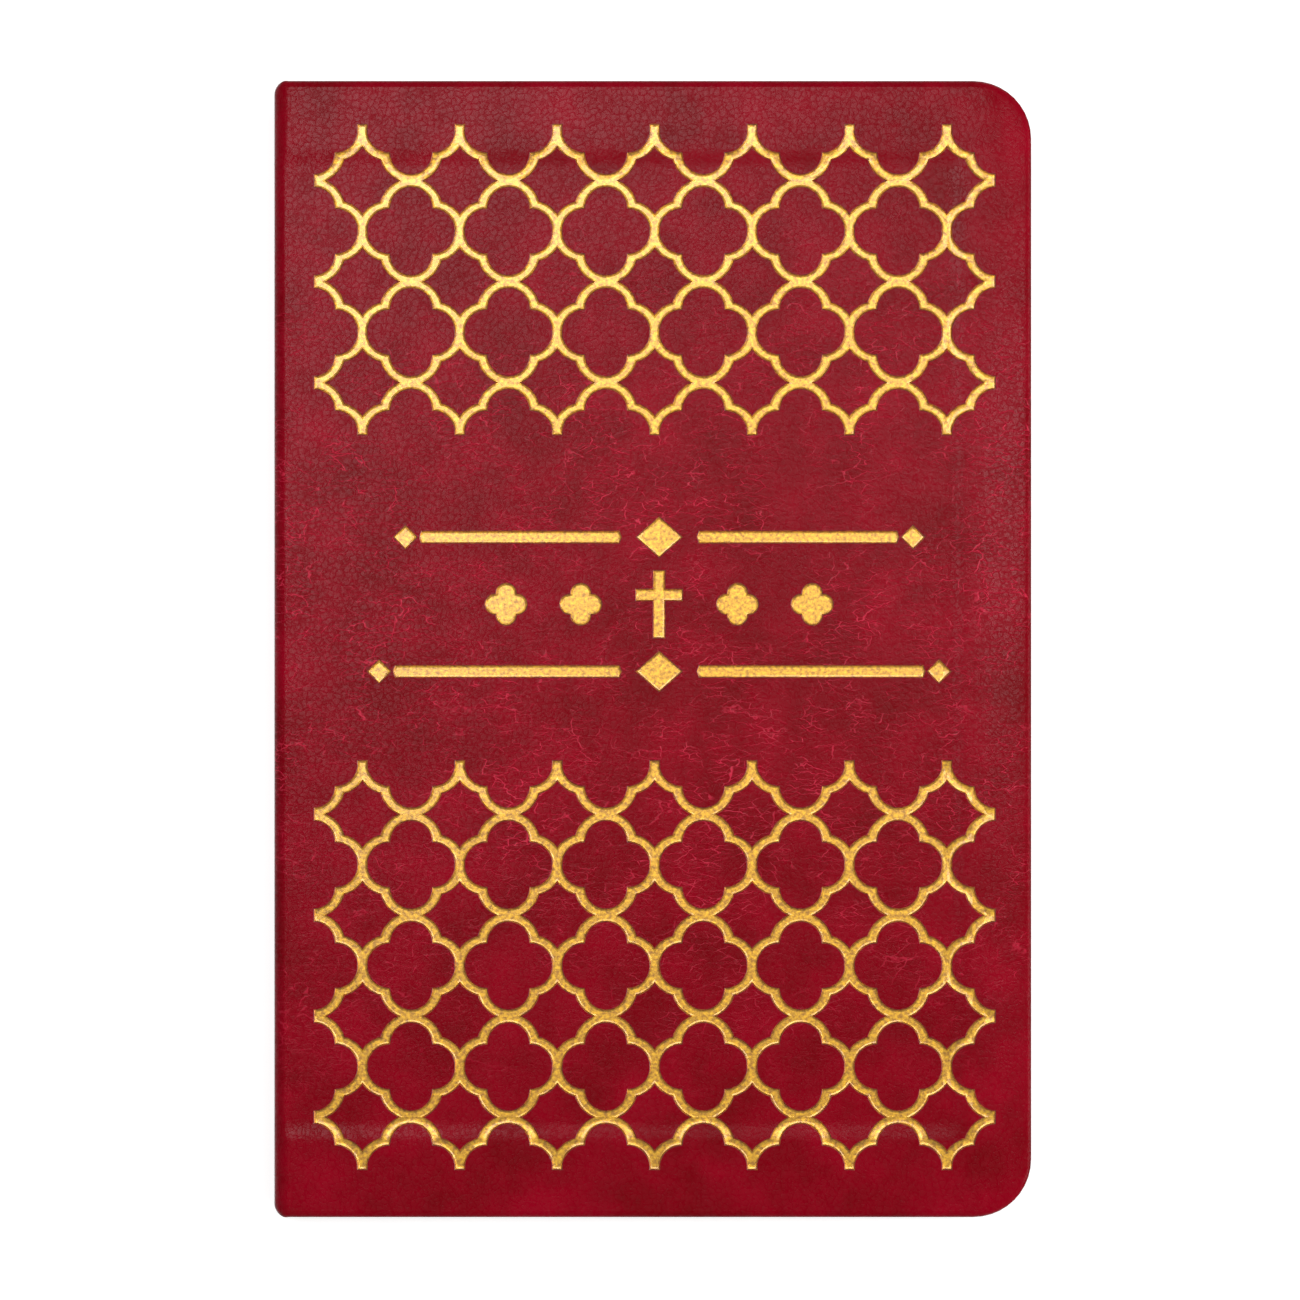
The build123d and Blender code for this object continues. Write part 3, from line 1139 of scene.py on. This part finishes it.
@dataclass
class LeafBundle:
    """The flat leaves of half a section, or one flyleaf, cut across beside the gutter."""

    node: str
    finish: Paper
    slot: str
    leaves: int = 4
    thickness: float = 0.11
    corner: float = 4.8
    corner_steps: int = 6
    shortest_bend: float = 4.0
    bend_growth: float = 1.2
    lower_bend: float = 3.0
    bend_cuts: int = 20
    # A trimmed block is never quite even: its edges step by a few hundredths, in a wave that runs on
    # by so many radians for each leaf and for each millimetre of the bundle's height.
    uneven: float = 0.05
    uneven_run: Point = (2.4, 40.0)
    crease: float = 40.0
    level: float = 0.9

    def build(self, gutter_x: float) -> None:
        """Makes the leaves and puts them in place of their node, which it hides.

        Args:
            gutter_x: Where the leaves leave their folds.
        """
        low, high = (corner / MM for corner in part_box(self.node))
        joint = next(j for j in frame["joints"] if j["child"] == self.node)
        away = abs(joint["pos_m"][2] / MM - (low.z + high.z) / 2)
        upper = joint["pos_m"][2] > BOX_BEFORE[1].z / 2
        # Lower leaves turn under the book, so their bend stays tight and clears the table.
        bend = self.shortest_bend + self.bend_growth * away if upper else self.lower_bend
        pitch = (high.z - low.z - self.thickness) / max(1, self.leaves - 1)
        drawing = Drawing()
        for i in range(self.leaves):
            wave = math.sin(self.uneven_run[0] * i + self.uneven_run[1] * low.z)
            fore, foot = high.x - self.uneven * (1 + wave) / 2, low.z + pitch * i
            outlines = []
            for z in (foot, foot + self.thickness):
                edges = drawing.sheet_edge(gutter_x, fore, high.y, self.corner, z, self.corner_steps)
                edges.append(drawing.close_side(edges))
                drawing.fill(edges)
                outlines += edges
            bmesh.ops.bridge_loops(drawing.bm, edges=outlines)
        for i in range(1, self.bend_cuts + 1):
            drawing.cut(0, gutter_x + bend * i / self.bend_cuts)
        drawing.face_out()
        for face in drawing.bm.faces:
            face.smooth = abs(face.normal.z) > self.level
        drawing.crease(self.crease)
        piece = drawing.piece(f"{self.node}_paper", (self.finish,))
        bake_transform(piece)
        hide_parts(self.node)


@dataclass
class BookBlock:
    """All leaves of the book, and the finish of the parts that the frame keeps."""

    sections: int = 7
    flyleaf_thickness: float = 0.15

    def build(self) -> None:
        """Makes every bundle of leaves and both flyleaves."""
        gutter_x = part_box("section_1_folds")[1].x / MM
        for number in range(1, self.sections + 1):
            for side in Side:
                LeafBundle(f"section_{number}_{side.value}_leaves", PAGE, "page_paper").build(gutter_x)
        for side in Side:
            LeafBundle(f"{side.value}_flyleaf", ENDPAPER, "endpaper", leaves=1,
                       thickness=self.flyleaf_thickness).build(gutter_x)

    def dress(self) -> None:
        """Gives each node of the frame the finish of its real stuff."""
        kinds = (("board", BOARD), ("liner", LINER), ("pastedown", ENDPAPER), ("flyleaf", ENDPAPER),
                 ("inlay", BOARD), ("mull", MULL), ("band", BAND), ("thread", THREAD),
                 ("leather", LEATHER))
        for name, node in sorted(frame["nodes"].items()):
            finish = next((made for word, made in kinds if word in name), PAGE)
            node.data.materials.clear()
            node.data.materials.append(finish.material())
            log.info("%s: %s", name, finish.name)


# --- the studio


@dataclass
class Studio:
    """A plain white table, soft lamps and a camera that looks straight down, all in metres."""

    floor_half: float = 2.0
    floor_gap: float = 0.0001
    lens: float = 120.0
    sensor: float = 36.0
    view_width: float = 0.17407
    camera_at: Point = (-0.00033, -0.00013)
    ambient: float = 0.20
    # Each lamp's place, its width and height, and its power. The last one lights the fore edge.
    lamps: tuple[tuple[Triple, Point, float], ...] = (
        ((-0.05, 0.190, 0.74), (0.36, 0.15), 2.1),
        ((-0.13, 0.02, 0.74), (0.10, 0.16), 0.6),
        ((0.26, 0.05, 0.74), (0.07, 0.30), 1.5),
        ((0.85, -0.10, 0.36), (0.60, 0.50), 5.0),
    )

    def floor(self) -> None:
        """Lays the white table under the book."""
        table = Drawing()
        bmesh.ops.create_grid(table.bm, x_segments=1, y_segments=1, size=self.floor_half / MM)
        table.move(table.bm.verts, (0, 0, (BOX_BEFORE[0].z - self.floor_gap) / MM))
        table.piece("studio_floor", (StudioWhite("matt white card"),))

    def light(self) -> None:
        """Hangs the lamps, each aimed at the book, and sets the world's even light."""
        for number, (place, size, power) in enumerate(self.lamps):
            data = bpy.data.lights.new(f"softbox_{number}", "AREA")
            data.shape, data.energy = "RECTANGLE", power
            data.size, data.size_y = size
            lamp = bpy.data.objects.new(data.name, data)
            lamp.location = place
            lamp.rotation_euler = (-Vector(place)).to_track_quat("-Z", "Y").to_euler()
            bpy.context.scene.collection.objects.link(lamp)
        world = bpy.data.worlds.new("studio")
        bpy.context.scene.world = world
        world.use_nodes = True
        tree = world.node_tree
        tree.nodes.clear()
        look = Look(tree)
        strength = look.stretched(look.ray_seen(), 0.0, 1.0, self.ambient)
        sky = look.add("Background", {"Color": WHITE, "Strength": strength})[0]
        look.add("OutputWorld", {"Surface": sky})

    def camera(self) -> None:
        """Sets the camera straight above the book, its top towards the head."""
        data = bpy.data.cameras.new("camera")
        data.lens, data.sensor_width = self.lens, self.sensor
        camera = bpy.data.objects.new("camera", data)
        height = self.view_width * self.lens / self.sensor
        camera.location = (*self.camera_at, BOX_BEFORE[1].z + height)
        bpy.context.scene.collection.objects.link(camera)
        bpy.context.scene.camera = camera

    def build(self) -> None:
        """Sets up the table, the lamps and the camera."""
        self.floor()
        self.light()
        self.camera()
        bpy.context.scene.view_settings.view_transform = "Standard"


def main() -> None:
    """Builds the book and its studio in order."""
    logging.basicConfig(level=logging.INFO, format="%(name)s %(message)s")
    block = BookBlock()
    block.dress()
    for side in Side:
        Covering(side).build()
    block.build()
    Studio().build()


if __name__ == "__main__":
    main()
